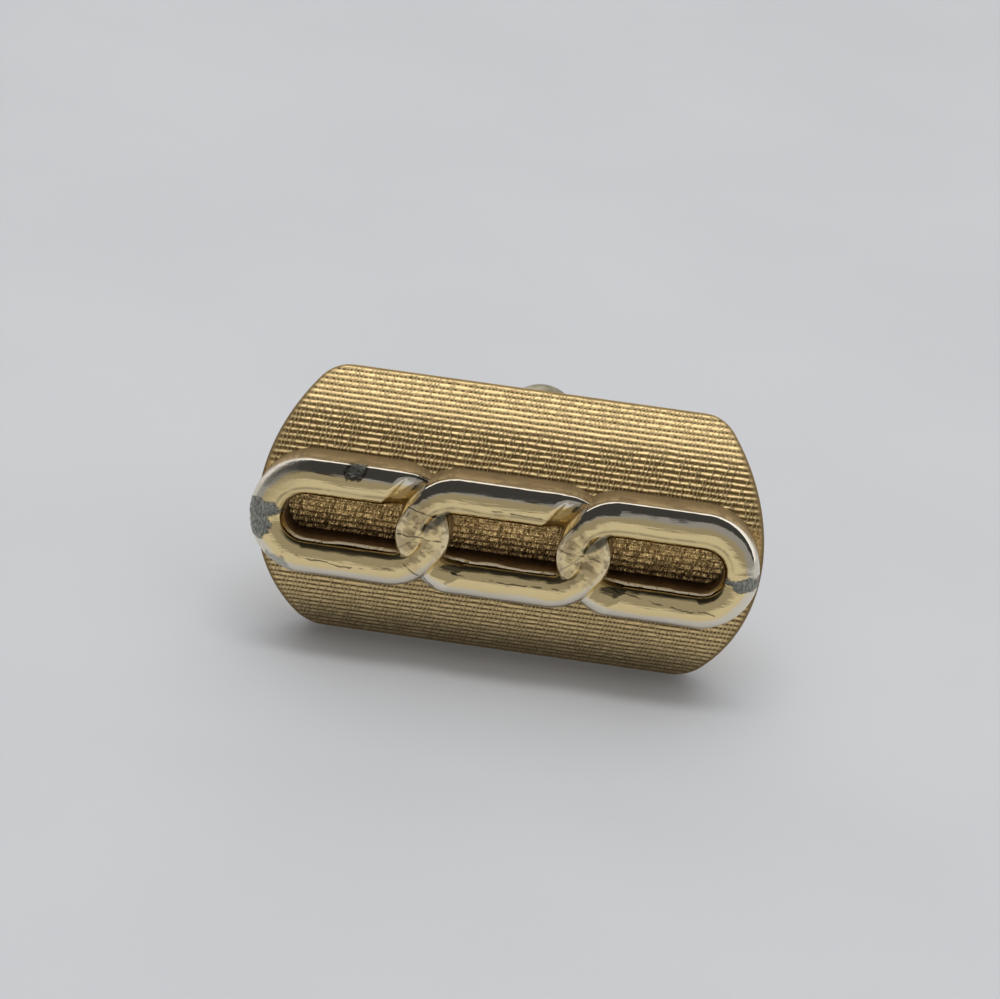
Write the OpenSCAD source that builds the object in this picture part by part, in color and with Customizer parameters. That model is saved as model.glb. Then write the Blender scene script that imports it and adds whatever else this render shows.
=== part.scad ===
// One cufflink of a pair: an oblong face plate that curves over its long axis,
// three interlocked oblong links across it, and a toggle back behind it.
// It stands on the lower long edge of the plate and on the end of the toggle.

/* [Face plate] */
// Length of the plate, end to end
plate_length = 25.4; // [22:0.1:30]
// Height of the plate, measured straight across its curve
plate_height = 13.95; // [12:0.05:16]
// Radius of the curved front
curve_r = 10.49; // [9.5:0.01:14]
// Thickness of the sheet
sheet = 1; // [0.7:0.05:1.2]
// Radius of the bowed ends, seen from the front
end_r = 9.8; // [9.2:0.1:12]
// Radius of the four corners, seen from the front
corner_r = 2.05; // [1:0.05:2.5]

/* [Chain] */
// Length of the three links together
chain_length = 25.38; // [24:0.02:26]
// Length of the middle link
middle_length = 10.68; // [10:0.02:11.4]
// How far two neighbouring links reach into each other
overlap = 2.69; // [2.5:0.01:2.9]
// Outer width of a link
link_width = 5.93; // [5.6:0.01:6.3]
// Width of a link's bar
bar_width = 1.7; // [1.6:0.01:1.85]
// Height of a link's crest over the middle of the plate
link_top = 2.35; // [1.9:0.05:2.6]
// Height of the rounded part of a bar
crest_rise = 0.8; // [0.4:0.05:0.8]
// Sideways place of the chain on the plate
chain_shift = -0.15; // [-0.3:0.05:0.3]
// Length of the slope where a bar dips under its neighbour
ramp = 1.3; // [0.8:0.1:1.5]

/* [Toggle back] */
// Diameter of the foot that is soldered to the plate
foot_d = 5.5; // [4.5:0.1:7]
// Depth at which the foot ends, behind the middle of the front
foot_depth = 2; // [1.8:0.1:3]
// Diameter of the stem
stem_d = 2.4; // [2:0.1:3]
// Diameter of the round toggle bar
toggle_d = 4.4; // [3.8:0.1:5.2]
// Length of the toggle bar
toggle_length = 18.2; // [14:0.1:20]
// Depth from the middle of the front to the end of the toggle
reach = 26.2; // [23:0.1:29]

/* [Fit] */
// Clearance between two pieces
gap = 0.06; // [0.04:0.01:0.1]

/* [Hidden] */
$fn = 96;
far = 40;
// How far a cutting shape reaches past what it cuts, and one shape into the next.
margin = 1;
lap = 0.2;

// Plate: the long edges are cut square to the curved sheet. The corner arcs
// reach a hair past the long edge, so that they cut it cleanly.
corner_bite = 0.02;
half_angle = asin(plate_height / 2 / curve_r);
edge_depth = curve_r * (1 - cos(half_angle));
end_centre = plate_length / 2 - end_r;
corner_y = plate_height / 2 - corner_r + corner_bite;
corner_x = end_centre + sqrt(pow(end_r - corner_r, 2) - pow(corner_y, 2));
corner_turn = atan2(corner_y, corner_x - end_centre);

// Links: centre line radius of the round ends, and places along the chain.
end_length = (chain_length - middle_length) / 2 + overlap;
mid_r = (link_width - bar_width) / 2;
outer_r = link_width / 2;
inner_r = outer_r - bar_width;
end_link_x = (chain_length - end_length) / 2;
junction_x = (middle_length - overlap) / 2;
neighbour_x = (link_width - overlap) / 2;
crest_r = (pow(bar_width / 2, 2) + pow(crest_rise, 2)) / (2 * crest_rise);
shoulder = link_top - crest_rise;
// Levels of a link: its underside before the plate cuts it, and the layer where
// two links pass. A dipped bar climbs again within step_in.
base = -1.5;
split = 1;
step_in = 0.15;
// Where the outer edge of one link crosses the inner edge of the next one.
meet_x = (outer_r * outer_r - inner_r * inner_r) / (4 * neighbour_x);
meet_y = sqrt(inner_r * inner_r - pow(neighbour_x - meet_x, 2));

// Resting pose: the lower edge and the round end of the toggle share the floor.
toggle_r = toggle_d / 2;
tip = reach - toggle_r;
run = tip - edge_depth;
rise = plate_height / 2;
lean = atan2(rise, run) - asin(toggle_r / norm([run, rise]));
floor_drop = tip * sin(lean) + toggle_r;
front = (link_top - crest_r) * cos(lean) + mid_r * sin(lean) + crest_r;
back = tip * cos(lean) + toggle_r;

// Shapes are drawn in the plate's own frame: X along it, Y up it, Z out of its face.
module resting() {
    translate([0, (front - back) / 2, floor_drop])
        rotate([90 - lean, 0, 0])
            children();
}

// Turns a profile drawn across the plate into a bar along it.
module along(length) {
    rotate([90, 0, 90])
        linear_extrude(length, center = true)
            children();
}

module plate_section() {
    translate([0, -curve_r])
        intersection() {
            difference() {
                circle(curve_r);
                circle(curve_r - sheet);
            }
            polygon([[0, 0], far * [sin(half_angle), cos(half_angle)],
                far * [-sin(half_angle), cos(half_angle)]]);
        }
}

// What a rounded corner takes away from the square one.
module corner_waste() {
    slope = [cos(corner_turn), sin(corner_turn)];
    spare = 2 * corner_r + margin;
    difference() {
        polygon([[corner_x, corner_y], [corner_x, corner_y + spare],
            [corner_x + spare, corner_y + spare], [corner_x, corner_y] + spare * slope]);
        translate([corner_x, corner_y])
            circle(corner_r);
    }
}

module plate_outline() {
    difference() {
        for (side = [-1, 1])
            translate([side * end_centre, 0])
                circle(end_r);
        for (turn = [0, 180])
            rotate(turn) {
                corner_waste();
                mirror([1, 0])
                    corner_waste();
            }
    }
}

module face_plate() {
    color([0.72, 0.63, 0.38])
        resting()
            intersection() {
                along(plate_length + 2 * margin)
                    plate_section();
                translate([0, 0, -far / 2])
                    linear_extrude(far)
                        plate_outline();
            }
}

module bar_profile() {
    translate([-bar_width / 2, base])
        square([bar_width, shoulder - base]);
    intersection() {
        translate([-bar_width / 2, 0])
            square([bar_width, link_top + margin]);
        translate([0, link_top - crest_r])
            circle(crest_r);
    }
}

module oblong_ring(length) {
    for (side = [-1, 1]) {
        translate([0, side * mid_r, 0])
            along(length - link_width)
                bar_profile();
        translate([side * (length - link_width) / 2, 0, 0])
            rotate([0, 0, -side * 90])
                rotate_extrude(angle = 180)
                    translate([mid_r, 0])
                        bar_profile();
    }
}

// The room above the lower layer, with a slope down to it on both sides. The
// slopes run on past the crest of a link.
module trough() {
    past = (link_top + margin - split) / (link_top - split);
    rotate_extrude()
        polygon([[inner_r - gap, split - gap / 2], [outer_r + gap, split - gap / 2],
            [outer_r + gap + past * ramp, link_top + margin],
            [inner_r - gap - past * step_in, link_top + margin]]);
}

// The room under the upper layer.
module tunnel() {
    translate([0, 0, base - margin])
        linear_extrude(split + gap / 2 - base + margin)
            difference() {
                circle(outer_r + gap);
                circle(inner_r - gap);
            }
}

// The part of a junction that lies above its diagonal.
module upper_half() {
    climb = meet_y / meet_x;
    translate([0, 0, -far / 2])
        linear_extrude(far)
            polygon([[-far, -meet_y], [-meet_x, -meet_y - gap / 2], [far, far * climb - gap / 2],
                [-far, far]]);
}

// What the left link of a junction gives up: it dips under its neighbour above
// the diagonal, and bridges it below.
module crossing() {
    intersection() {
        upper_half();
        translate([neighbour_x, 0, 0])
            trough();
    }
    intersection() {
        rotate([0, 0, 180])
            upper_half();
        translate([neighbour_x, 0, 0])
            tunnel();
    }
}

// A link with its right end in the crossings at right_joints, and its left end
// in those at left_joints. Its underside follows the curved plate.
module link(length, place, right_joints = [], left_joints = []) {
    resting()
        translate([chain_shift, 0, 0])
            difference() {
                translate([place, 0, 0])
                    oblong_ring(length);
                for (x = right_joints)
                    translate([x, 0, 0])
                        crossing();
                for (x = left_joints)
                    translate([x, 0, 0])
                        rotate([0, 0, 180])
                            crossing();
                translate([0, 0, -curve_r])
                    along(plate_length + 2 * margin)
                        circle(curve_r + gap);
            }
}

module link_left() {
    color([0.80, 0.72, 0.48])
        link(end_length, -end_link_x, right_joints = [-junction_x]);
}

module link_middle() {
    color([0.78, 0.69, 0.44])
        link(middle_length, 0, right_joints = [junction_x], left_joints = [-junction_x]);
}

module link_right() {
    color([0.80, 0.72, 0.48])
        link(end_length, end_link_x, left_joints = [junction_x]);
}

// Foot, stem and toggle bar in one piece, in line with the stem.
module toggle_back() {
    color([0.62, 0.57, 0.42])
        resting()
            union() {
                intersection() {
                    translate([0, 0, -foot_depth])
                        cylinder(h = foot_depth, d = foot_d);
                    translate([0, 0, -curve_r])
                        along(plate_length)
                            circle(curve_r - sheet - gap);
                }
                translate([0, 0, -tip])
                    cylinder(h = tip - foot_depth + lap, d = stem_d);
                translate([0, 0, -tip])
                    cylinder(h = toggle_length - toggle_d, d = toggle_d);
                for (depth = [tip, reach - toggle_length + toggle_r])
                    translate([0, 0, -depth])
                        sphere(toggle_r);
            }
}

face_plate();
link_left();
link_middle();
link_right();
toggle_back();
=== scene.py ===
import math
import bmesh
import bpy
from mathutils import Euler, Matrix, Vector


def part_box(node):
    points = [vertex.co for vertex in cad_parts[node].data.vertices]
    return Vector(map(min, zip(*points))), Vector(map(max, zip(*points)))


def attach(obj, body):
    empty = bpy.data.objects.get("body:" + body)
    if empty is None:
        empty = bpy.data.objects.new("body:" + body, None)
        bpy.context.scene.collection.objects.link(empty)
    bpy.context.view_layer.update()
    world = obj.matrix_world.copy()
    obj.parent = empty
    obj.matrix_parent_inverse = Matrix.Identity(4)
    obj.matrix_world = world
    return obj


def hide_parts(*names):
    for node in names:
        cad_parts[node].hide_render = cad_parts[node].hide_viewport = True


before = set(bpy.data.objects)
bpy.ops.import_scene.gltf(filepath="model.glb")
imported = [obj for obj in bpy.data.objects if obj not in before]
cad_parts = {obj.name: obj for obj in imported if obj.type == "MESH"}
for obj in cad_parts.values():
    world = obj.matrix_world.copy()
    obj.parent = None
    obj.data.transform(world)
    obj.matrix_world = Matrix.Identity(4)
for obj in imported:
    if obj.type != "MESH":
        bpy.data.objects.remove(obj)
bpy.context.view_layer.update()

scene = bpy.context.scene
scene.view_settings.view_transform = "Standard"
mm = 0.001

# The driving sizes of the cufflink, in millimetres.
body = dict(
    plateLength=25.4, plateHeight=13.95, curveRadius=10.49, sheet=1.0, endRadius=9.8, cornerRadius=2.05,
    chainLength=25.38, middleLength=10.68, overlap=2.69, linkWidth=5.93, chainShift=-0.15,
    toggleDiameter=4.4, toggleLength=18.2, reach=26.2)
halfAngle = math.asin(body["plateHeight"] / 2 / body["curveRadius"])
edgeDepth = body["curveRadius"] * (1 - math.cos(halfAngle))
junctionX = (body["middleLength"] - body["overlap"]) / 2
endLength = (body["chainLength"] - body["middleLength"]) / 2 + body["overlap"]
endLinkX = (body["chainLength"] - endLength) / 2
neighbourX = (body["linkWidth"] - body["overlap"]) / 2
toggleRadius = body["toggleDiameter"] / 2
tipDepth = body["reach"] - toggleRadius  # the centre of the toggle's far round end


def restingPose():  # the plate's lower edge and the toggle's far end are on the floor
    run, rise = tipDepth - edgeDepth, body["plateHeight"] / 2
    lean = math.atan2(rise, run) - math.asin(toggleRadius / math.hypot(run, rise))
    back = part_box("toggle_back")[1][1] / mm - toggleRadius - tipDepth * math.cos(lean)
    drop = tipDepth * math.sin(lean) + toggleRadius
    turn = Euler((math.pi / 2 - lean, 0, 0)).to_matrix()
    return turn, Vector((0, back, drop)) * mm


faceTurn, faceMiddle = restingPose()  # face frame: X along the plate, Y up it, Z out of its front
toWorld = Matrix.Translation(faceMiddle) @ faceTurn.to_4x4() @ Matrix.Scale(mm, 4)


class Wire:  # an output socket that takes part in sums
    def __init__(self, tree, socket):
        self.tree, self.socket = tree, socket

    def __add__(self, other):
        return calc("ADD", self, other)

    def __sub__(self, other):
        return calc("SUBTRACT", self, other)

    def __rsub__(self, other):
        return calc("SUBTRACT", other, self)

    def __mul__(self, other):
        return calc("MULTIPLY", self, other)

    def __truediv__(self, other):
        return calc("DIVIDE", self, other)

    def __neg__(self):
        return calc("MULTIPLY", self, -1)

    def __abs__(self):
        return calc("ABSOLUTE", self)

    __radd__, __rmul__ = __add__, __mul__


def plug(tree, socket, value):
    if isinstance(value, Wire):
        tree.links.new(value.socket, socket)
    else:
        socket.default_value = value


def addNode(tree, kind, inputs=(), **settings):
    made = tree.nodes.new(kind)
    for name, value in settings.items():
        setattr(made, name, value)
    for key, value in dict(inputs).items():
        plug(tree, made.inputs[key], value)
    return made


def wireFrom(tree, kind, inputs=(), output=0, **settings):
    return Wire(tree, addNode(tree, kind, inputs, **settings).outputs[output])


def calc(operation, *values, clamp=False):
    tree = next(value.tree for value in values if isinstance(value, Wire))
    return wireFrom(tree, "ShaderNodeMath", enumerate(values), operation=operation, use_clamp=clamp)


def aim(operation, *values, scale=None):  # vector maths
    tree = next(value.tree for value in values if isinstance(value, Wire))
    made = addNode(tree, "ShaderNodeVectorMath", enumerate(values), operation=operation)
    if scale is not None:
        plug(tree, made.inputs["Scale"], scale)
    return Wire(tree, made.outputs["Value" if operation == "LENGTH" else "Vector"])


def clamped(value):  # kept from 0 to 1
    return calc("MULTIPLY", value, 1.0, clamp=True)


def smooth(value, low, high):  # 0 below low, 1 above high
    return wireFrom(value.tree, "ShaderNodeMapRange", {0: value, 1: low, 2: high}, interpolation_type="SMOOTHSTEP")


def fading(value, low, high):  # 1 below low, 0 above high
    return 1 - smooth(value, low, high)


def between(factor, first, second, kind="FLOAT"):
    firstSocket, secondSocket, output = {"FLOAT": (2, 3, 0), "RGBA": (6, 7, 2)}[kind]
    ends = {0: factor, firstSocket: first, secondSocket: second}
    return wireFrom(factor.tree, "ShaderNodeMix", ends, output, data_type=kind)


def painted(colour, mask, other):  # the other colour where the mask is 1
    return between(mask, colour, other, "RGBA")


def join(tree, x=0.0, y=0.0, z=0.0):
    return wireFrom(tree, "ShaderNodeCombineXYZ", {0: x, 1: y, 2: z})


def split(vector):
    made = addNode(vector.tree, "ShaderNodeSeparateXYZ", {0: vector})
    return [Wire(vector.tree, socket) for socket in made.outputs]


def cloud(vector, scale, detail=2.0, roughness=0.5):  # soft noise from about 0.3 to 0.7
    values = {"Vector": vector, "Scale": scale, "Detail": detail, "Roughness": roughness}
    return wireFrom(vector.tree, "ShaderNodeTexNoise", values)


def grain(x, y, finerX, finerY, layer, detail=2.0, roughness=0.5):  # soft noise stretched over a face
    return cloud(join(x.tree, x * finerX, y * finerY, layer), 1.0, detail, roughness)


def centred(noise):  # about zero
    return noise - 0.5


def chance(vector):  # one random number for each cell
    return wireFrom(vector.tree, "ShaderNodeTexWhiteNoise", {"Vector": vector}, "Value", noise_dimensions="3D")


def anyOf(values):  # the largest of several masks
    total = values[0]
    for value in values[1:]:
        total = calc("MAXIMUM", total, value)
    return total


def farFrom(spot, start, end):  # distance in the face's plane from a short straight mark
    line = Vector(end) - Vector(start)
    x, y, _ = split(spot)
    offX, offY = x - start[0], y - start[1]
    share = calc("DIVIDE", offX * line.x + offY * line.y, line.length_squared, clamp=True)
    return aim("LENGTH", join(spot.tree, offX - share * line.x, offY - share * line.y, 0.0))


def addObject(name, data):
    made = bpy.data.objects.new(name, data)
    scene.collection.objects.link(made)
    return made


def newMesh(name, spots, faces):
    mesh = bpy.data.meshes.new(name)
    mesh.from_pydata(spots, [], faces)
    return mesh


def newShape(name, floats):  # a Geometry Nodes tree with named inputs
    tree = bpy.data.node_groups.new(name, "GeometryNodeTree")
    tree.is_modifier = True
    tree.interface.new_socket(name="Geometry", in_out="INPUT", socket_type="NodeSocketGeometry")
    for label in floats:
        tree.interface.new_socket(name=label, in_out="INPUT", socket_type="NodeSocketFloat")
    tree.interface.new_socket(name="Material", in_out="INPUT", socket_type="NodeSocketMaterial")
    tree.interface.new_socket(name="Geometry", in_out="OUTPUT", socket_type="NodeSocketGeometry")
    source = addNode(tree, "NodeGroupInput")
    return tree, {socket.name: Wire(tree, socket) for socket in source.outputs if socket.name}


def closeShape(tree, geometry, material):
    real = wireFrom(tree, "GeometryNodeRealizeInstances", {"Geometry": geometry})
    dressed = wireFrom(tree, "GeometryNodeSetMaterial", {"Geometry": real, "Material": material})
    addNode(tree, "NodeGroupOutput", {0: dressed})


def keep(tree, geometry, name, vector):  # stores a vector on the mesh for its material
    return wireFrom(tree, "GeometryNodeStoreNamedAttribute", {"Geometry": geometry, "Name": name, "Value": vector},
                    data_type="FLOAT_VECTOR", domain="POINT")


def runShape(tree, name, mesh, values, material):
    blank = addObject(name + "_blank", mesh)
    modifier = blank.modifiers.new("shape", "NODES")
    modifier.node_group = tree
    for item in tree.interface.items_tree:
        if item.in_out == "INPUT" and item.name in values:
            modifier[item.identifier] = float(values[item.name])
        elif item.in_out == "INPUT" and item.name == "Material":
            modifier[item.identifier] = material
    bpy.context.view_layer.update()
    graph = bpy.context.evaluated_depsgraph_get()
    done = bpy.data.meshes.new_from_object(blank.evaluated_get(graph), preserve_all_data_layers=True, depsgraph=graph)
    bpy.data.objects.remove(blank)
    done.name = name
    return done


def placePiece(name, mesh, nodes):  # the mesh comes in the face frame, in millimetres
    mesh.transform(toWorld)
    mesh.polygons.foreach_set("use_smooth", [True] * len(mesh.polygons))
    mesh.update()
    piece = addObject(name, mesh)
    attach(piece, "root")
    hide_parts(*nodes)
    print(name, "made with", sum(len(face.vertices) - 2 for face in mesh.polygons), "triangles")
    return piece


def rgb(*values):
    return (*values, 1.0)


def newMaterial(name):
    material = bpy.data.materials.new(name)
    material.use_nodes = True
    tree = material.node_tree
    tree.nodes.clear()
    shader = addNode(tree, "ShaderNodeBsdfPrincipled")
    addNode(tree, "ShaderNodeOutputMaterial", {0: Wire(tree, shader.outputs[0])})
    return material, tree, shader


def setShader(tree, shader, values):
    for label, value in values.items():
        plug(tree, shader.inputs[label], value)


def bumped(tree, height):  # the height is in millimetres
    return wireFrom(tree, "ShaderNodeBump", {"Height": height, "Strength": 1.0, "Distance": mm})


def attribute(tree, name):  # the three numbers that a mesh keeps under this name
    return split(wireFrom(tree, "ShaderNodeAttribute", output="Vector", attribute_name=name))


def addCamera():
    # Angles are from the middle of the face, straight out of it.
    view = dict(yaw=2.235, tilt=16.266, roll=7.423, distance=140.6, focal=101.63, sensor=36,
                shift=(-0.0089, 0.0354), clip=(0.005, 10))
    yaw, tilt, roll = (math.radians(view[name]) for name in ("yaw", "tilt", "roll"))
    out = Vector((math.sin(yaw) * math.cos(tilt), math.sin(tilt), math.cos(yaw) * math.cos(tilt)))
    right = Vector((math.cos(yaw), 0, -math.sin(yaw)))
    up = out.cross(right)
    turned = Matrix((right * math.cos(roll) + up * math.sin(roll), up * math.cos(roll) - right * math.sin(roll), out))
    camera = addObject("camera", bpy.data.cameras.new("camera"))
    pose = (faceTurn @ turned.transposed()).to_4x4()
    pose.translation = faceMiddle + faceTurn @ out * view["distance"] * mm
    camera.matrix_world = pose
    camera.data.lens = view["focal"]
    camera.data.sensor_width = view["sensor"]
    camera.data.shift_x, camera.data.shift_y = view["shift"]
    camera.data.clip_start, camera.data.clip_end = view["clip"]
    scene.camera = camera
    print("camera in place")


def addRoom():
    # Brightness of the room by the direction a reflection looks in.
    # Angles rise from the front, over the top, to the back; the dark card starts higher on the right.
    room = dict(front=0.31, card=0.05, strip=1.25, back=0.95, below=0.36, green=1.005, blue=1.02,
                cardFrom=43, cardFromRight=74, cardTo=136, stripTo=152,
                turnsRight=(-0.04, 0.03), cardBlur=4, stripBlur=3, backBlur=5, horizonBlur=0.02)
    world = bpy.data.worlds.new("studio")
    scene.world = world
    world.use_nodes = True
    tree = world.node_tree
    tree.nodes.clear()
    x, y, z = split(wireFrom(tree, "ShaderNodeTexCoord", output="Generated"))
    angle = calc("ARCTAN2", z, -y) * (180 / math.pi)
    cardFrom = between(smooth(x, *room["turnsRight"]), room["cardFrom"], room["cardFromRight"])

    def past(value, place, blur):
        return smooth(value, place - blur, place + blur)

    level = between(past(angle - cardFrom, 0, room["cardBlur"]), room["front"], room["card"])
    level = between(past(angle, room["cardTo"], room["stripBlur"]), level, room["strip"])
    level = between(past(angle, room["stripTo"], room["backBlur"]), level, room["back"])
    level = between(past(z, 0, room["horizonBlur"]), room["below"], level)
    colour = join(tree, level, level * room["green"], level * room["blue"])
    light = wireFrom(tree, "ShaderNodeBackground", {"Color": colour, "Strength": 1.0})
    addNode(tree, "ShaderNodeOutputWorld", {0: light})
    print("room in place")


def addLamps():
    # Each lamp: degrees behind the zenith, width and depth, distance in metres, watts, and what it leaves out.
    lamps = dict(key=(-9, (0.34, 0.09), 0.5, 0.66, "visible_glossy"), soft=(0, (1.2, 1.2), 0.7, 6.1, "visible_glossy"),
                 shine=(20, (0.12, 0.12), 0.5, 1.64, "visible_diffuse"),
                 glow=(-74, (0.16, 0.16), 0.5, 0.44, "visible_diffuse"))
    engraved = bpy.data.collections.new("engraved")  # shine and glow light the plate alone
    for name, (behind, size, away, power, leftOut) in lamps.items():
        lamp = bpy.data.lights.new(name, "AREA")
        lamp.shape, lamp.energy = "RECTANGLE", power
        lamp.size, lamp.size_y = size
        holder = addObject(name, lamp)
        turn = Matrix.Rotation(-math.radians(behind), 4, "X")
        holder.matrix_world = Matrix.Translation(faceMiddle) @ turn @ Matrix.Translation((0, 0, away))
        setattr(holder, leftOut, False)
        holder.visible_camera = False
        if leftOut == "visible_diffuse":
            holder.light_linking.receiver_collection = engraved
    print("lamps in place")
    return engraved


def addFloor():
    # Sizes in metres; the dome is a pale wall beyond the floor that only the camera sees.
    ground = dict(half=3.0, grey=rgb(0.51, 0.52, 0.535), pale=rgb(0.53, 0.54, 0.555), mottleScale=38.0,
                  mottleDetail=3.0, mottle=(0.3, 0.7), roughness=0.75, shine=0.1,
                  domeShare=0.9, domeRounds=4, domeColour=rgb(0.55, 0.56, 0.575))
    half = ground["half"]
    floor = addObject("floor", newMesh(
        "floor", [(-half, -half, 0), (half, -half, 0), (half, half, 0), (-half, half, 0)], [(0, 1, 2, 3)]))
    material, tree, shader = newMaterial("pale_card")
    spot = wireFrom(tree, "ShaderNodeTexCoord", output="Object")
    mottle = cloud(spot, ground["mottleScale"], ground["mottleDetail"])
    colour = painted(ground["grey"], smooth(mottle, *ground["mottle"]), ground["pale"])
    setShader(tree, shader, {
        "Base Color": colour, "Roughness": ground["roughness"], "Specular IOR Level": ground["shine"]})
    floor.data.materials.append(material)

    shell = bmesh.new()
    bmesh.ops.create_icosphere(shell, subdivisions=ground["domeRounds"], radius=half * ground["domeShare"])
    mesh = bpy.data.meshes.new("dome")
    shell.to_mesh(mesh)
    shell.free()
    dome = addObject("dome", mesh)
    dome.visible_diffuse = dome.visible_glossy = dome.visible_transmission = dome.visible_shadow = False
    material, tree, shader = newMaterial("pale_room")
    setShader(tree, shader, {
        "Base Color": rgb(0, 0, 0), "Specular IOR Level": 0.0,
        "Emission Color": ground["domeColour"], "Emission Strength": 1.0})
    material.cycles.emission_sampling = "NONE"
    dome.data.materials.append(material)
    print("floor and dome in place")


def plateBlank():
    # The plate before engraving: a fine front, a rounded rim and a plain back. Sizes in millimetres, turns in degrees.
    plate = dict(ridges=50, rowsPerRidge=8, columns=112, edge=0.09, edgeTurns=(30, 60, 90), wallShare=0.55,
                 backEdge=0.15, backTurns=(0, 35, 65, 90), rimRows=2, rimWidth=0.12)
    radius, edge, backEdge = body["curveRadius"], plate["edge"], plate["backEdge"]
    endRadius, corner = body["endRadius"] - edge, body["cornerRadius"] - edge
    endCentre = body["plateLength"] / 2 - body["endRadius"]
    cornerV = body["plateHeight"] / 2 - body["cornerRadius"]
    cornerX = endCentre + math.sqrt((body["endRadius"] - body["cornerRadius"]) ** 2 - cornerV ** 2)
    turn = math.atan2(cornerV, cornerX - endCentre)
    topV = cornerV + corner  # the front stops an edge's width inside the outline
    topAngle = math.asin(topV / radius)

    def reach(v):
        v = abs(v)
        if v <= endRadius * math.sin(turn):
            return endCentre + math.sqrt(endRadius ** 2 - v ** 2)
        return cornerX + math.sqrt(max(corner ** 2 - (v - cornerV) ** 2, 0))

    def outward(x, v):  # the outline's direction in plan
        if abs(v) <= endRadius * math.sin(turn):
            return Vector((x - math.copysign(endCentre, x), v)).normalized()
        if abs(x) <= cornerX:
            return Vector((0, math.copysign(1, v)))
        return Vector((x - math.copysign(cornerX, x), v - math.copysign(cornerV, v))).normalized()

    rows, columns = plate["ridges"] * plate["rowsPerRidge"], plate["columns"]
    spots, marks, faces = [], [], []

    def rowAngle(i):
        return topAngle * (2 * i / rows - 1)

    def add(x, angle, depth, push, side):  # side is 1 on the front, 0 on the rim and -1 on the back
        v, n = (radius - depth) * math.sin(angle), (radius - depth) * math.cos(angle) - radius
        spots.append((x + push[0], v + push[1] * math.cos(angle), n - push[1] * math.sin(angle)))
        marks.append((x, radius * angle, side))
        return len(spots) - 1

    grid = []
    for i in range(rows + 1):
        half = reach(radius * math.sin(rowAngle(i)))
        grid.append([])
        for j in range(columns + 1):
            fromEdge = (rows / 2 - abs(i - rows / 2)) / plate["rimRows"]
            fromEnd = (columns / 2 - abs(j - columns / 2)) * half / columns * 2 / plate["rimWidth"]
            grid[i].append(add(half * (2 * j / columns - 1), rowAngle(i), 0, (0, 0), min(1.0, fromEdge, fromEnd)))
    for i in range(rows):
        for j in range(columns):
            faces.append((grid[i][j], grid[i][j + 1], grid[i + 1][j + 1], grid[i + 1][j]))

    border = [(0, j) for j in range(columns)] + [(i, columns) for i in range(rows)]
    border += [(rows, j) for j in range(columns, 0, -1)] + [(i, 0) for i in range(rows, 0, -1)]
    wall = body["sheet"] - backEdge
    steps = [(edge * math.sin(a), edge * (1 - math.cos(a))) for a in map(math.radians, plate["edgeTurns"])]
    steps += [(edge, wall * plate["wallShare"])]
    steps += [(edge - backEdge * (1 - math.cos(a)), wall + backEdge * math.sin(a))
              for a in map(math.radians, plate["backTurns"])]
    last = [grid[i][j] for i, j in border]
    for push, depth in steps:
        side = -1 if depth > wall + backEdge / 2 else 0
        ring = []
        for i, j in border:
            x, v = spots[grid[i][j]][:2]
            out = outward(x, v)
            ring.append(add(x, rowAngle(i), depth, (out[0] * push, out[1] * push), side))
        for k in range(len(ring)):
            m = (k + 1) % len(ring)
            faces.append((last[m], last[k], ring[k], ring[m]))
        last = ring
    place = {spot: last[k] for k, spot in enumerate(border)}
    for i in range(1, rows - 1):
        faces.append((place[i, columns], place[i, 0], place[i + 1, 0], place[i + 1, columns]))
    faces.append([place[1, 0], place[1, columns]] + [place[0, j] for j in range(columns, -1, -1)])
    faces.append([place[rows - 1, columns], place[rows - 1, 0]] + [place[rows, j] for j in range(columns + 1)])
    mesh = newMesh("plate_blank", spots, faces)
    kept = mesh.attributes.new("spot", "FLOAT_VECTOR", "POINT")
    kept.data.foreach_set("vector", [number for mark in marks for number in mark])
    mesh.update()
    return mesh, radius * topAngle * 2 / plate["ridges"]


def engraving(cut):
    tree, source = newShape("engraving", ["Pitch", "Depth", "Groove power", "Wobble"])
    read = wireFrom(tree, "GeometryNodeInputNamedAttribute", {"Name": "spot"}, data_type="FLOAT_VECTOR")
    x, s, side = split(read)
    wander = centred(grain(x, s, *cut["wander"])) * source["Wobble"]
    wander = wander + centred(grain(x, s, *cut["tremble"])) * source["Wobble"]
    phase = s / source["Pitch"] + wander
    away = abs(phase - calc("ROUND", phase)) * 2  # 0 in a groove, 1 on a ridge
    top = 0.5 - calc("COSINE", calc("POWER", away, source["Groove power"]) * math.pi) * 0.5
    worn = 1.0 + centred(grain(x, s, *cut["worn"])) * cut["wear"]
    worn = worn * (cut["shallow"] + smooth(abs(s), *cut["opening"]) * (1 - cut["shallow"]))
    deep = (1 - top) * source["Depth"] * worn * calc("MAXIMUM", side, 0.0)
    inward = aim("SCALE", wireFrom(tree, "GeometryNodeInputNormal"), scale=-deep)
    moved = wireFrom(tree, "GeometryNodeSetPosition", {"Geometry": source["Geometry"], "Offset": inward})
    sway = centred(grain(x, s, *cut["sway"])) * cut["swayBy"]
    crowd = centred(cloud(join(tree, x, s, 0.0), cut["crowdScale"])) * cut["crowdBy"]
    closeShape(tree, keep(tree, moved, "weave", join(tree, phase, sway, crowd)), source["Material"])
    return tree


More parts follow.
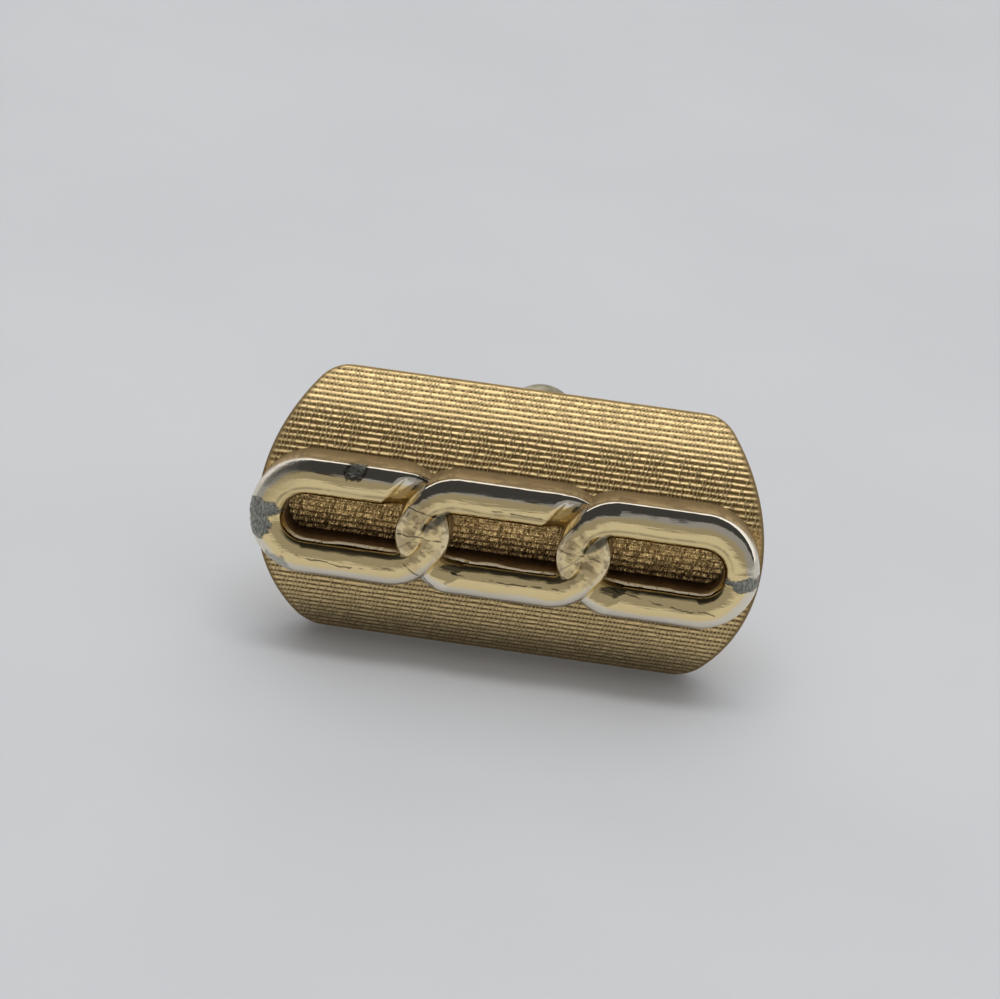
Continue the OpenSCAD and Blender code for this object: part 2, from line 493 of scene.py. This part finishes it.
def plateMaterial():
    finish = dict(
        gold=rgb(0.90, 0.71, 0.38), groove=rgb(0.17, 0.105, 0.035), rim=rgb(0.31, 0.22, 0.1),
        back=rgb(0.62, 0.48, 0.25), bottomDark=rgb(0.15, 0.11, 0.055), red=rgb(0.12, 0.055, 0.02),
        copper=rgb(1.0, 0.71, 0.31), metal=0.85, dullerBelow=0.25, brighterBack=0.15,
        roughness=0.68, uneven=0.25, smootherBack=0.27, smootherInside=0.33)
    # Each noise: how fine it is along and up the plate, its layer, detail and roughness.
    noises = dict(grit=(3.0, 9.0, 2.0, 2.0, 0.65), brush=(13.0, 4.0, 6.0, 1.0, 0.6), fine=(5.0, 5.0, 9.0, 2.0, 0.7),
                  backLines=(0.6, 14.0, 12.0, 2.0, 0.6))
    # Where the edge of each zone begins and ends, in millimetres up the curved face.
    zones = dict(top=(4.3, 6.6), below=(-3.6, -2.0), opening=(1.8, 2.2), bottomDark=(-7.2, -4.3), stainAndShade=(-1.35, 0.2))
    # Short cross marks: raised ticks, bright threads that break the grooves' painted shade into dashes, and raised
    # hooks beside them whose lit side is a painted highlight.
    ticks = dict(spacing=0.2, lean=0.22, rowHeight=1.2, jitter=0.5, jitterBelow=0.35, drawn=(0.15, 0.55),
                 width=0.065, thread=(0.03, 0.08), hookWidth=0.05, hookShift=0.07)
    # Painted shade in the grooves, with some tarnish: by the distance from the lit side of a ridge, and less of it near
    # the top.
    shadedGrooves = dict(litSide=0.16, ragged=0.25, start=0.28, startLow=0.18, full=0.43, fullLow=0.1, most=0.94,
                   thread=0.75, hookAndHighlight=0.95, tick=0.1, tickLow=0.4, tickBelow=0.35, inside=0.82)
    stainsAndShade = dict(bottomDark=0.75, bottomRagged=2.0, fine=(0.5, 0.62), fineMost=0.3, low=0.85,
                  redScale=6.0, red=(0.56, 0.64), redMost=0.5, backFrom=0.8, backMost=0.5)
    heights = dict(grit=0.02, brush=0.022, tick=0.032, tickLow=2.2, hookAndHighlight=0.03, weave=0.011, weaveTurns=44,
                   weaveRagged=0.3, back=0.012)
    material, tree, shader = newMaterial("engraved_gold")
    x, s, side = attribute(tree, "spot")
    phase, sway, crowd = attribute(tree, "weave")
    front, back = calc("MAXIMUM", side, 0.0), calc("MAXIMUM", -side, 0.0)
    low, below, inside = fading(s, *zones["top"]), fading(s, *zones["below"]), fading(abs(s), *zones["opening"])
    grit, brush, fine, backLines = (grain(x, s, *noise) for noise in noises.values())
    ragged = centred(fine)

    slant = x - s * ticks["lean"] + sway
    count = slant / ticks["spacing"]
    cell = calc("FLOOR", count)
    row = calc("FLOOR", phase / ticks["rowHeight"] + chance(join(tree, cell, 1.0, 0.0)) * 2)
    jitter = centred(chance(join(tree, cell, row, 2.0))) * (ticks["jitter"] - below * ticks["jitterBelow"])
    off = (count - cell - 0.5 + jitter) * ticks["spacing"]
    drawn = smooth(chance(join(tree, cell, row, 4.0)) + crowd, *ticks["drawn"]) * front
    tick = fading(abs(off), 0.0, ticks["width"]) * drawn
    thread = fading(abs(off), *ticks["thread"])
    # A hook is a small raised mark that also clears the groove colour: a painted highlight on the lit side of a tick.
    hookAndHighlight = fading(abs(off + ticks["hookShift"]), 0.0, ticks["hookWidth"]) * drawn * low

    facing = abs(centred(calc("FRACT", phase - shadedGrooves["litSide"]))) + ragged * shadedGrooves["ragged"]
    grooveShadeAndTarnish = smooth(facing, shadedGrooves["start"] - low * shadedGrooves["startLow"],
                  shadedGrooves["full"] - low * shadedGrooves["fullLow"]) * shadedGrooves["most"]
    grooveShadeAndTarnish = grooveShadeAndTarnish * (1 - thread * shadedGrooves["thread"] * (1 - low)) * (1 - hookAndHighlight * shadedGrooves["hookAndHighlight"])
    grooveShadeAndTarnish = calc("MAXIMUM", grooveShadeAndTarnish, tick * (shadedGrooves["tick"] + low * (shadedGrooves["tickLow"] - below * shadedGrooves["tickBelow"])))
    grooveShadeAndTarnish = grooveShadeAndTarnish * (1 - inside * shadedGrooves["inside"])
    # Darker towards the bottom edge of the plate, on the front and, more faintly, on the back.
    bottomDark = fading(s + centred(grit) * stainsAndShade["bottomRagged"], *zones["bottomDark"]) * stainsAndShade["bottomDark"]
    # Random stains in the openings, and painted shade with some tarnish towards the bottom of each opening.
    stainAndShade = smooth(fine, *stainsAndShade["fine"]) * stainsAndShade["fineMost"]
    stainAndShade = stainAndShade + fading(s + centred(grit), *zones["stainAndShade"]) * stainsAndShade["low"]
    specks = smooth(cloud(join(tree, x, s, 0.0), stainsAndShade["redScale"]), *stainsAndShade["red"])
    weave = calc("SINE", (slant + ragged * heights["weaveRagged"]) * heights["weaveTurns"]) * inside

    height = centred(grit) * heights["grit"] + centred(brush) * heights["brush"]
    height = height + tick * (heights["tick"] * (1 - low * heights["tickLow"])) + hookAndHighlight * heights["hookAndHighlight"]
    height = height + weave * heights["weave"]
    height = height * front + centred(backLines) * back * heights["back"]
    colour = painted(finish["gold"], inside, finish["copper"])
    # The dark groove colour is painted shade with some tarnish.
    colour = painted(colour, grooveShadeAndTarnish, finish["groove"])
    colour = painted(colour, bottomDark, finish["bottomDark"])
    colour = painted(colour, specks * inside * stainsAndShade["redMost"], finish["red"])
    colour = painted(colour, stainAndShade * inside, finish["red"])
    awayFromBottom = 1 - smooth(bottomDark, 0.0, stainsAndShade["backFrom"]) * stainsAndShade["backMost"]
    plain = painted(finish["rim"], back * awayFromBottom, finish["back"])
    roughness = finish["roughness"] + centred(grit) * finish["uneven"] * front
    smoother = anyOf([back * finish["smootherBack"], inside * front * finish["smootherInside"]])
    setShader(tree, shader, {
        "Normal": bumped(tree, height), "Base Color": painted(plain, front, colour), "Roughness": roughness - smoother,
        "Metallic": finish["metal"] - below * front * finish["dullerBelow"] + back * finish["brighterBack"]})
    return material


def addPlate(litAlone):
    # Each noise: how fine it is along and up the plate, its layer and its detail. The engraving is shallower in the
    # openings of the links.
    cut = dict(depth=0.06, groovePower=1.5, wobble=0.3, wander=(0.35, 1.7, 3.0), tremble=(1.2, 2.4, 6.0, 1.0),
               worn=(1.4, 3.2, 8.0), wear=1.2, shallow=0.7, opening=(1.8, 2.4),
               sway=(0.5, 2.2, 5.0), swayBy=0.3, crowdScale=0.7, crowdBy=1.2)
    mesh, pitch = plateBlank()
    values = {"Pitch": pitch, "Depth": cut["depth"], "Groove power": cut["groovePower"], "Wobble": cut["wobble"]}
    mesh = runShape(engraving(cut), "engraved_plate", mesh, values, plateMaterial())
    litAlone.objects.link(placePiece("engraved_plate", mesh, ["face_plate"]))


def linkSweep(worn):
    # Points are counted round the path, over the top of the section and down each side; sizes in millimetres. A
    # crossing is filled within flush of its centre; slope to kept say where the bar starts to sink beside its seam.
    sweep = dict(round=128, arc=56, wall=5, tiny=0.0001, innerPower=0.78, freeEnd=0.22, flush=(1.2, 1.8),
                 leftLower=0.03, slope=0.85, slopeLength=1.31, seam=(0.02, 0.55), seamStart=0.2,
                 ramp=(-0.1, 0.35), kept=(0.05, 0.55), rightDip=1.0, leftDip=0.6)
    labels = ["Length", "Width", "Bar", "End", "Crest", "Shoulder", "Foot", "Place", "Step", "Dip",
              "Left joint", "Right joint", "Joint", "Neighbour", "Ramp", "Web"]
    tree, source = newShape("link_sweep", labels)
    straight, halfWidth = source["Length"] - source["Width"], source["Width"] / 2
    circle = {"Resolution": sweep["round"], "Radius": halfWidth}
    ring = wireFrom(tree, "GeometryNodeCurvePrimitiveCircle", circle)
    position = wireFrom(tree, "GeometryNodeInputPosition")
    stretch = join(tree, calc("SIGN", split(position)[0] + sweep["tiny"]) * straight / 2)  # tiny: never quite zero
    path = wireFrom(tree, "GeometryNodeSetPosition", {"Geometry": ring, "Offset": stretch})
    even = wireFrom(tree, "GeometryNodeResampleCurve", {"Curve": path, "Length": source["Step"]}, mode="LENGTH")

    def captured(geometry, kind, name, value):  # carries a value along the curve into the swept mesh
        held = addNode(tree, "GeometryNodeCaptureAttribute", {"Geometry": geometry}, domain="POINT")
        held.capture_items.new(kind, name)
        plug(tree, held.inputs[name], value)
        return Wire(tree, held.outputs[0]), Wire(tree, held.outputs[name])

    arc, wall = sweep["arc"], sweep["wall"]
    along, spot = captured(even, "VECTOR", "Spot", position)
    count = {"Resolution": arc + 2 * wall + 1, "Radius": 0.4}  # only the count matters: every point is placed below
    profile = wireFrom(tree, "GeometryNodeCurvePrimitiveCircle", count)
    section, index = captured(profile, "FLOAT", "Index", wireFrom(tree, "GeometryNodeInputIndex"))
    swept = wireFrom(tree, "GeometryNodeCurveToMesh", {"Curve": along, "Profile Curve": section})

    turn = (0.5 - calc("MINIMUM", index / arc, 1.0)) * math.pi
    downInside, upOutside = clamped((index - arc) / wall), clamped((index - arc - wall - 1) / wall)
    outside = calc("GREATER_THAN", index, arc + wall + 0.5)
    power = between(calc("LESS_THAN", turn, 0.0), 1.0, sweep["innerPower"])  # the inner side is squarer
    sine = calc("SIGN", turn) * calc("POWER", abs(calc("SINE", turn)), power)
    across = between(outside, sine, 1.0)
    rise = calc("POWER", calc("MAXIMUM", calc("COSINE", turn), 0.0), power)
    drop = between(outside, downInside, 1 - upOutside)

    px, py, _ = split(spot)
    middle = calc("MINIMUM", calc("MAXIMUM", px, -straight / 2), straight / 2)
    outX, outY, _ = split(aim("NORMALIZE", join(tree, px - middle, py, 0.0)))
    free = calc("MAXIMUM", -outX, 0.0) * (1 - source["Left joint"])
    free = free + calc("MAXIMUM", outX, 0.0) * (1 - source["Right joint"])
    end = source["End"] + free * sweep["freeEnd"]
    thick = between(calc("POWER", abs(outX), 2.0), source["Bar"], end)
    inset = (across - 1) * thick / 2
    x, y = px + outX * inset, py + outY * inset
    full = source["Shoulder"] + rise * (source["Crest"] - source["Shoulder"])
    ends = ((1, source["Right joint"], source["Web"], sweep["rightDip"]),
            (-1, source["Left joint"], source["Web"] - sweep["leftLower"], sweep["leftDip"]))
    for sign, on, web, _ in ends:  # the crossing is filled flush
        far = aim("LENGTH", join(tree, x - source["Joint"] * sign, y, 0.0))
        full = between(fading(far, *sweep["flush"]) * on, full, calc("MAXIMUM", full, web))
    z = full + (source["Foot"] - full) * drop
    for sign, on, _, dip in ends:  # the bar sinks where it passes under the neighbour
        jointX, jointY = (x - source["Joint"] * sign) * sign, y * sign
        rho = aim("LENGTH", join(tree, jointX - source["Neighbour"], jointY, 0.0))
        start, stop = sweep["seam"]
        above = smooth((jointY - jointX * sweep["slope"]) / sweep["slopeLength"], start, stop)
        above = above * smooth(jointY, start - sweep["seamStart"], stop)
        outer = 1 - clamped((rho - halfWidth) / source["Ramp"])
        outer = outer * smooth(outer, *sweep["ramp"])
        inner = halfWidth - source["End"]
        inner = smooth(rho, inner + sweep["kept"][0], inner + sweep["kept"][1])
        z = z + (source["Foot"] - z) * above * outer * inner * on * source["Dip"] * dip

    # Wear: dents and rubbed places follow marks in the face's plane, over all three links alike.
    faceX = x + source["Place"]
    flat = join(tree, faceX, y, 0.0)
    shaken = [centred(cloud(join(tree, faceX, y, layer), *worn["shaken"])) * worn["ragged"] for layer in (0.0, 5.0)]
    ragged = aim("ADD", flat, join(tree, *shaken, 0.0))
    fields = [anyOf([size - farFrom(ragged, first, last) for first, last, size in worn[kind]])
              for kind in ("bare", "scars", "nicks")]
    joint = anyOf([fading(aim("LENGTH", join(tree, faceX - place, y, 0.0)), *worn["jointZone"])
                   for place in worn["joints"]])
    hammered = centred(cloud(flat, worn["hammerScale"])) * worn["hammer"] * joint
    sunk = smooth(fields[0], *worn["dent"]) * worn["bareDepth"] + smooth(fields[2], *worn["dent"]) * worn["nickDepth"]
    raised = smooth(fields[1], *worn["scarEdge"]) * worn["scarHeight"]
    z = z + (hammered - sunk + raised) * (1 - drop)
    rub = centred(cloud(join(tree, faceX * worn["rubLength"], y, 1.0), *worn["rub"]))
    patch = centred(cloud(join(tree, faceX, y, 4.0), *worn["patch"]))

    marks = wireFrom(tree, "GeometryNodeSetPosition", {"Geometry": swept, "Position": join(tree, faceX, y, z)})
    for name, vector in (("spot", (faceX, y, across * (1 + drop))), ("wear", fields), ("tone", (rub, patch, joint))):
        marks = keep(tree, marks, name, join(tree, *vector))
    closeShape(tree, marks, source["Material"])
    return tree


def linkMaterial(worn):
    finish = dict(
        gold=rgb(0.90, 0.71, 0.37), silver=rgb(0.80, 0.75, 0.66), bare=rgb(0.19, 0.195, 0.17),
        mauve=rgb(0.42, 0.31, 0.17), crack=rgb(0.10, 0.08, 0.05), seam=rgb(0.12, 0.115, 0.085),
        scar=rgb(0.44, 0.43, 0.38), edgeHighlight=rgb(0.66, 0.58, 0.44), wall=rgb(0.50, 0.36, 0.18),
        inside=rgb(0.15, 0.08, 0.03), deep=rgb(0.04, 0.018, 0.007),
        roughness=0.07, streaked=0.1, wallMetal=0.45, edgeHighlightMetal=0.7)
    # Where each mask starts and is full: in millimetres, in shares of the half bar, or in strength of a noise.
    edges = dict(
        wall=(0.985, 1.02), nickLine=(0.03, 0.12), bareLine=(0.01, 0.06), bare=(-0.02, 0.03), scar=(-0.05, 0.1),
        crack=(0.01, 0.06), broken=(0.42, 0.5), seam=(0.09, 0.27), fold=(0.02, 0.07), deep=(1.1, 1.5), crest=(0.9, 1.0),
        rubbed=(0.25, 0.5), fadedTo=(-11.2, -9.6), fadedUp=(-0.2, 0.4), paintedDip=(0.03, 0.12), upper=(0.0, 1.0),
        lower=(0.5, 1.2), darkReflection=(0.6, 0.72), darkReflectionEnd=(0.92, 0.94), edgeHighlight=(0.93, 0.95), edgeHighlightEnd=(0.985, 1.0),
        edgeHighlightSpeck=(0.3, 0.45), mauve=(-0.06, 0.1), insideWall=(0.8, 0.9), streak=(0.44, 0.6), speck=(0.35, 0.65))
    share = dict(bareLine=0.5, fold=0.5, wallCrest=0.65, silver=0.85, silverJoint=0.75, paintedDipWhole=0.6, mauve=0.75,
                 streak=0.45, scar=0.8, seam=0.85, crack=0.85, paintedDip=0.45, darkReflection=0.75, outline=0.85)
    dulled = dict(joint=0.12, wall=0.45, bare=0.4, nick=0.35, scar=0.3, faded=0.3, edgeHighlight=0.3)
    heights = dict(streak=0.008, wave=0.05, speck=0.06, faded=0.4)
    # Each noise: its scale, detail and roughness, or how fine it is each way and its layer.
    noises = dict(layers=2.0, wavy=(1.2, 2.0, 0.6), wavyBy=0.35, speck=(5.0, 2.0, 0.7), broken=(1.3, 1.0),
                  streakFine=(0.7, 9.0), streak=(2.0, 0.7), wave=(0.5, 1.5, 3.0, 1.0))
    # How far a noise shifts the edges of a mask.
    shifts = dict(deep=0.8, rubbed=0.4, faded=1.5, paintedDipAt=0.45, paintedDip=0.3, edge=0.12)
    # The seam's two strokes at a crossing, from its centre.
    strokes = dict(seam=((1.15, 1.2), (0.05, 0.35)), fold=((0.25, 0.35), (-1.2, -0.94)))

    def over(value, name):
        return smooth(value, *edges[name])

    def under(value, name):
        return fading(value, *edges[name])

    material, tree, shader = newMaterial("worn_gold")
    x, y, across = attribute(tree, "spot")
    bareField, scarField, nickField = attribute(tree, "wear")
    rub, patch, joint = attribute(tree, "tone")
    flat = join(tree, x, y, 0.0)
    layer = across * noises["layers"]
    wavy = aim("ADD", flat, join(tree, 0.0, centred(cloud(flat, *noises["wavy"])) * noises["wavyBy"], 0.0))
    speck = cloud(join(tree, x, y, layer), *noises["speck"])
    streak = grain(x, y, *noises["streakFine"], layer, *noises["streak"])
    wave = grain(x, y, *noises["wave"])
    broken = over(cloud(join(tree, x, y, 7.0), *noises["broken"]), "broken")

    def stroke(field, name):  # along the same line at each crossing
        (startX, startY), (endX, endY) = strokes[name]
        return [under(farFrom(field, (place + startX, startY), (place + endX, endY)), name) for place in worn["joints"]]

    wall = over(abs(across), "wall")
    outline = [under(abs(nickField), "nickLine"), under(abs(bareField), "bareLine") * share["bareLine"]]
    outline = anyOf(outline) * (1 - wall)
    bare, scar, nick = over(bareField, "bare"), over(scarField, "scar"), over(nickField, "bare") * (1 - wall)
    crack = anyOf([under(farFrom(wavy, *line), "crack") for line in worn["cracks"]]) * broken
    seam = anyOf([anyOf(stroke(wavy, "seam"))] + [mask * share["fold"] for mask in stroke(flat, "fold")])
    # The lower part of each wall is painted shade where it meets the plate, less of it on the outer walls.
    deep = over(abs(across) + centred(speck) * shifts["deep"], "deep")
    deep = deep * (1 - over(across, "crest") * share["wallCrest"])
    rubbed = over(across + rub * shifts["rubbed"], "rubbed") * (share["silver"] - joint * share["silverJoint"])
    faded = under(x + patch * shifts["faded"], "fadedTo") * over(y, "fadedUp")  # one corner is rubbed dull
    # A painted dark dip in the reflection along each upper bar, broken in places.
    paintedDip = under(abs(across + shifts["paintedDipAt"] + rub * shifts["paintedDip"]), "paintedDip")
    paintedDip = paintedDip * anyOf([broken, share["paintedDipWhole"]]) * over(y, "upper")
    edge = rub * shifts["edge"] - across
    lower = over(-y, "lower") * (1 - joint)
    # A painted dark reflection in a band along the inner side of each lower bar.
    darkReflection = over(edge, "darkReflection") * under(edge, "darkReflectionEnd") * lower
    edgeHighlight = over(edge, "edgeHighlight") * under(edge, "edgeHighlightEnd") * lower  # a painted highlight along the lower edge of an opening
    edgeHighlight = edgeHighlight * over(speck, "edgeHighlightSpeck")
    wall = anyOf([wall, over(edge, "edgeHighlightEnd") * lower])

    height = centred(streak) * heights["streak"] * (1 - joint) + centred(wave) * heights["wave"]
    height = height + centred(speck) * heights["speck"] * anyOf([bare, nick, scar, faded * heights["faded"]])
    colour = painted(finish["gold"], rubbed, finish["silver"])
    colour = painted(colour, edgeHighlight, finish["edgeHighlight"])
    colour = painted(colour, over(patch, "mauve") * joint * share["mauve"], finish["mauve"])
    # The outer walls' tan is a painted reflection of the plate; the inner walls' dark brown is painted shade with some
    # tarnish.
    inside = painted(finish["wall"], over(-across, "insideWall"), finish["inside"])
    # Streaks along the walls are a painted reflection of the engraving.
    deep = anyOf([deep, over(streak, "streak") * share["streak"]])
    colour = painted(colour, wall, painted(inside, deep, finish["deep"]))
    colour = painted(colour, anyOf([bare, nick]), painted(finish["bare"], over(speck, "speck"), finish["scar"]))
    colour = painted(colour, scar * share["scar"], finish["scar"])
    colour = painted(colour, seam * share["seam"], finish["seam"])
    # Cracks and outlines are dark marks; the dip along the upper bars and the band on the lower bars are painted
    # reflection in the same dark colour.
    darkened = dict(crack=crack, paintedDip=paintedDip, darkReflection=darkReflection, outline=outline)
    colour = painted(colour, anyOf([mask * share[name] for name, mask in darkened.items()]), finish["crack"])
    masks = dict(joint=joint, wall=wall, bare=bare, nick=nick, scar=scar, faded=faded, edgeHighlight=edgeHighlight)
    dull = anyOf([mask * dulled[name] for name, mask in masks.items()])
    setShader(tree, shader, {
        "Normal": bumped(tree, height), "Base Color": colour,
        "Metallic": 1 - edgeHighlight * finish["edgeHighlightMetal"] - wall * finish["wallMetal"],
        "Roughness": finish["roughness"] + centred(streak) * finish["streaked"] + dull})
    return material


def addLinks():
    link = dict(bar=1.85, end=1.54, crest=2.35, shoulder=1.5, foot=-0.6, step=0.06, dip=0.3, ramp=1.15, web=2.2)
    shift = body["chainShift"]
    # Worn places, in the face's millimetres: the ends of each short stroke, and half its width where it has one.
    # Each noise: its scale, detail and roughness.
    worn = dict(
        joints=[shift - junctionX, shift + junctionX], jointZone=(0.8, 2.3), hammer=0.1, hammerScale=2.1,
        ragged=0.9, shaken=(1.7, 4.0, 0.7), rubLength=0.4, rub=(1.1, 3.0), patch=(1.3, 3.0, 0.6),
        dent=(0.0, 0.15), bareDepth=0.02, nickDepth=0.06, scarEdge=(-0.1, 0.1), scarHeight=0.04,
        bare=[((-12.35, 0.2), (-12.2, -0.75), 0.54), ((-12.0, 0.2), (-11.75, 0.3), 0.3),
              ((-11.5, 0.1), (-11.2, 0.2), 0.12), ((11.5, -0.3), (12.4, -0.1), 0.3),
              ((11.0, -0.2), (11.5, -0.3), 0.16)],
        cracks=[((-10.9, -1.8), (-7.5, -2.15)), ((-7.5, -2.15), (-5.0, -1.9)), ((-2.5, -1.7), (-0.5, -1.85)),
                ((-0.5, -1.85), (2.9, -1.75)), ((5.4, -1.4), (7.9, -1.8)), ((7.9, -1.8), (10.6, -1.95)),
                ((2.7, 0.2), (3.7, 0.08)), ((3.7, 0.08), (5.2, -0.05)), ((-5.4, -0.1), (-3.2, -0.2)),
                ((-5.0, 1.3), (-3.4, 1.0)), ((-4.9, -1.6), (-3.3, -2.7)), ((-1.2, 1.75), (1.6, 1.7))],
        scars=[((-11.7, -2.1), (-11.0, -2.35), 0.22), ((-11.0, -2.35), (-10.5, -2.7), 0.18)],
        nicks=[((-7.92, 2.66), (-7.56, 2.72), 0.34), ((-4.45, 2.75), (-4.4, 2.6), 0.14),
               ((3.8, 2.95), (3.8, 2.8), 0.14)])
    tree = linkSweep(worn)
    material = linkMaterial(worn)
    # Each link: its length, where its middle is, and whether another link crosses its left and right end.
    links = dict(left=(endLength, -endLinkX, 0, 1), middle=(body["middleLength"], 0, 1, 1),
                 right=(endLength, endLinkX, 1, 0))
    for name, (length, place, left, right) in links.items():
        values = {label.capitalize(): size for label, size in link.items()}
        values.update({"Length": length, "Width": body["linkWidth"], "Place": place + shift, "Neighbour": neighbourX,
                       "Left joint": left, "Right joint": right,
                       "Joint": junctionX if name == "middle" else endLinkX - junctionX})
        mesh = runShape(tree, "chain_link_" + name, bpy.data.meshes.new("blank"), values, material)
        placePiece("chain_link_" + name, mesh, ["link_" + name])


def toggleMaterial():
    finish = dict(gold=rgb(0.46, 0.40, 0.26), dull=rgb(0.26, 0.225, 0.14), roughness=0.3, duller=0.2,
                  patina=(0.4, 0.62), patinaMost=0.8, turned=0.01, rubbed=0.012)
    # Each noise: how fine it is each way, or its scale, and its detail and roughness.
    noises = dict(patina=(0.35, 4.0, 0.65), turned=(0.4, 14.0, 0.4), rubbed=(6.0, 0.8, 6.0), detail=(3.0, 0.6))
    material, tree, shader = newMaterial("plain_gold")
    spot = aim("SCALE", wireFrom(tree, "ShaderNodeTexCoord", output="Object"), scale=1 / mm)
    x, y, z = split(spot)
    patina = smooth(cloud(spot, *noises["patina"]), *finish["patina"])
    turned, rubbed = (centred(grain(x, y, fineX, fineY, z * fineZ, *noises["detail"]))
                      for fineX, fineY, fineZ in (noises["turned"], noises["rubbed"]))
    height = turned * finish["turned"] + rubbed * finish["rubbed"]
    setShader(tree, shader, {
        "Normal": bumped(tree, height), "Metallic": 1.0, "Roughness": finish["roughness"] + patina * finish["duller"],
        "Base Color": painted(finish["gold"], patina * finish["patinaMost"], finish["dull"])})
    return material


def addToggle():
    # Foot, stem and round bar are turned round one line; the foot's top follows the back of the plate.
    knob = dict(foot=2.75, footDepth=2.0, edge=0.12, edgeTurn=18, stem=1.2, fillet=0.3, filletTurn=15, gap=0.06,
                turns=96, barSteps=14, tipSteps=18, footShares=(0.25, 0.5, 0.75, 0.9, 1.0),
                lineFrom=1.2, lineHalf=0.12, lineFloor=0.04, groove=0.05)
    radius, turns = toggleRadius, knob["turns"]
    start = body["reach"] - body["toggleLength"] + radius  # depth of the nearer round end's centre
    backRadius = body["curveRadius"] - body["sheet"] - knob["gap"]
    profile = [(knob["foot"] * share, None) for share in knob["footShares"]]
    edge, fillet, depth = knob["edge"], knob["fillet"], knob["footDepth"]
    profile += [(knob["foot"] - edge * (1 - math.cos(a)), depth - edge * (1 - math.sin(a)))
                for a in map(math.radians, range(0, 91, knob["edgeTurn"]))]
    profile += [(knob["stem"] + fillet * (1 - math.sin(a)), depth + fillet * (1 - math.cos(a)))
                for a in map(math.radians, range(0, 91, knob["filletTurn"]))]
    first, count = math.asin(knob["stem"] / radius), knob["barSteps"]
    sweep = [first + (math.pi / 2 - first) * i / count for i in range(count + 1)]
    profile += [(radius * math.sin(a), start - radius * math.cos(a)) for a in sweep]
    for place in (start + knob["lineFrom"], tipDepth - knob["lineFrom"]):  # a fine turned line near each end of the bar
        profile += [(radius, place - knob["lineHalf"]), (radius - knob["groove"], place - knob["lineFloor"]),
                    (radius - knob["groove"], place + knob["lineFloor"]), (radius, place + knob["lineHalf"])]
    sweep = [math.pi / 2 + math.pi / 2 * i / knob["tipSteps"] for i in range(knob["tipSteps"])]
    profile += [(radius * math.sin(a), tipDepth - radius * math.cos(a)) for a in sweep]

    spots, faces, rings = [(0, 0, backRadius - body["curveRadius"])], [], []
    for size, depth in profile:  # no depth: on the back of the plate
        ring = []
        for k in range(turns):
            angle = 2 * math.pi * k / turns
            x, v = size * math.cos(angle), size * math.sin(angle)
            spots.append((x, v, math.sqrt(backRadius ** 2 - v ** 2) - body["curveRadius"] if depth is None else -depth))
            ring.append(len(spots) - 1)
        rings.append(ring)
    spots.append((0, 0, -body["reach"]))
    for k in range(turns):
        m = (k + 1) % turns
        faces.append((0, rings[0][k], rings[0][m]))
        faces += [(upper[k], lower[k], lower[m], upper[m]) for upper, lower in zip(rings, rings[1:])]
        faces.append((rings[-1][m], rings[-1][k], len(spots) - 1))
    mesh = newMesh("toggle", spots, faces)
    mesh.materials.append(toggleMaterial())
    placePiece("toggle_bar_and_foot", mesh, ["toggle_back"])


addCamera()
addRoom()
engraved = addLamps()
addFloor()
addPlate(engraved)
addLinks()
addToggle()
